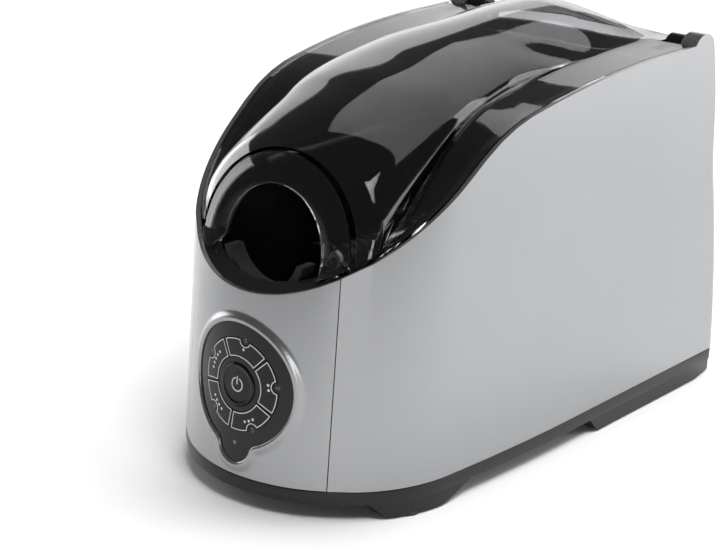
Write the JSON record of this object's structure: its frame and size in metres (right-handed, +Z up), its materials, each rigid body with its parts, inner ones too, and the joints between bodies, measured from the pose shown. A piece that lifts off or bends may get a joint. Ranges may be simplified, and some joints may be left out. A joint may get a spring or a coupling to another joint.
{
  "type": "rapid bottle chiller",
  "caption": "Countertop chiller that spins a bottle on rollers in an ice-water basin and sprays it, with a clear hinged lid, a neck opening and a round key panel.",
  "frame": {"origin": "centre of the footprint, on the surface that the feet rest on", "axes": "+X to the object's left as it faces its user, which is the viewer's right, +Y from the control panel at the front to the hinge at the rear, +Z up"},
  "size_m": [0.177, 0.3378, 0.2318],
  "materials": {
    "silver": "satin silver paint",
    "graphite": "fine texture",
    "black_gloss": "gloss",
    "basin_black": "satin",
    "smoke_clear": "smoked clear gloss",
    "rubber": "matte",
    "steel": "turned",
    "white_plastic": "matte",
    "light_lens": "frosted",
    "board": "solder mask",
    "winding": "varnish"
  },
  "bodies": {
    "chassis": {"base_tray": "graphite", "foot_pads": "rubber", "base_screws": "steel", "housing_shell": "silver", "front_panel": "silver", "panel_rim": "silver", "control_panel": "black_gloss", "mode_lights": "light_lens", "ice_light": "light_lens", "control_board": "board", "key_switches": "steel", "basin": "basin_black", "rear_deck": "basin_black", "neck_rest": "rubber", "roller_cradle": "graphite", "cradle_screws": "steel", "roller_bushes": "white_plastic", "drive_seal": "rubber", "drive_belt": "rubber", "spin_motor": "steel", "motor_bracket": "steel", "pump_housing": "graphite", "pump_seal": "rubber", "pump_motor": "steel", "delivery_pipe": "basin_black", "spray_bar_left": "basin_black", "spray_bar_right": "basin_black", "spray_crossover": "basin_black", "ice_sensor": "steel", "power_board": "board", "transformer": "winding", "cable_gland": "graphite", "hinge_pins": "steel"},
    "lid": {"lid_dome": "smoke_clear", "lid_collar": "smoke_clear", "lid_seal": "rubber", "hinge_knuckles": "smoke_clear"},
    "drive_roller": {"drive_shaft": "steel", "drive_sleeves": "rubber", "drive_pulley": "graphite"},
    "idler_roller": {"idler_shaft": "steel", "idler_sleeves": "rubber"},
    "motor_rotor": {"motor_shaft": "steel", "motor_pulley": "graphite"},
    "pump_rotor": {"impeller": "white_plastic", "pump_shaft": "steel"},
    "filter": {"filter_screen": "graphite"},
    "start_button": {"start_button": "black_gloss"},
    "key_top": {"key_top": "black_gloss"},
    "key_right": {"key_right": "black_gloss"},
    "key_lower_right": {"key_lower_right": "black_gloss"},
    "key_lower_left": {"key_lower_left": "black_gloss"},
    "key_left": {"key_left": "black_gloss"}
  },
  "joints": [
    {"name": "lid_hinge", "type": "hinge", "parent": "chassis", "child": "lid", "pos_m": [0, 0.12784, 0.207], "axis": [-1, 0, 0], "range_deg": [0, 85]},
    {"name": "drive_roller_spin", "type": "hinge", "parent": "chassis", "child": "drive_roller", "pos_m": [0.026, 0, 0.1006], "axis": [0, 1, 0], "continuous": true},
    {"name": "motor_spin", "type": "hinge", "parent": "chassis", "child": "motor_rotor", "pos_m": [0.026, 0, 0.038], "axis": [0, 1, 0], "continuous": true},
    {"name": "idler_roller_spin", "type": "hinge", "parent": "chassis", "child": "idler_roller", "pos_m": [-0.026, 0, 0.1006], "axis": [0, 1, 0], "continuous": true},
    {"name": "pump_spin", "type": "hinge", "parent": "chassis", "child": "pump_rotor", "pos_m": [-0.056, 0.03, 0], "axis": [0, 0, 1], "continuous": true},
    {"name": "filter_lift", "type": "slide", "parent": "chassis", "child": "filter", "axis": [0, 0, 1], "range_m": [0, 0.04]},
    {"name": "start_press", "type": "slide", "parent": "chassis", "child": "start_button", "axis": [0, 0.9976, -0.0698], "range_m": [0, 0.0008], "stiffness_N_per_m": 600},
    {"name": "key_top_press", "type": "slide", "parent": "chassis", "child": "key_top", "axis": [0, 0.9976, -0.0698], "range_m": [0, 0.0008], "stiffness_N_per_m": 600},
    {"name": "key_right_press", "type": "slide", "parent": "chassis", "child": "key_right", "axis": [0, 0.9976, -0.0698], "range_m": [0, 0.0008], "stiffness_N_per_m": 600},
    {"name": "key_lower_right_press", "type": "slide", "parent": "chassis", "child": "key_lower_right", "axis": [0, 0.9976, -0.0698], "range_m": [0, 0.0008], "stiffness_N_per_m": 600},
    {"name": "key_lower_left_press", "type": "slide", "parent": "chassis", "child": "key_lower_left", "axis": [0, 0.9976, -0.0698], "range_m": [0, 0.0008], "stiffness_N_per_m": 600},
    {"name": "key_left_press", "type": "slide", "parent": "chassis", "child": "key_left", "axis": [0, 0.9976, -0.0698], "range_m": [0, 0.0008], "stiffness_N_per_m": 600}
  ],
  "couplings": [
    {"joint": "motor_spin", "follows": "drive_roller_spin", "ratio": 1}
  ]
}
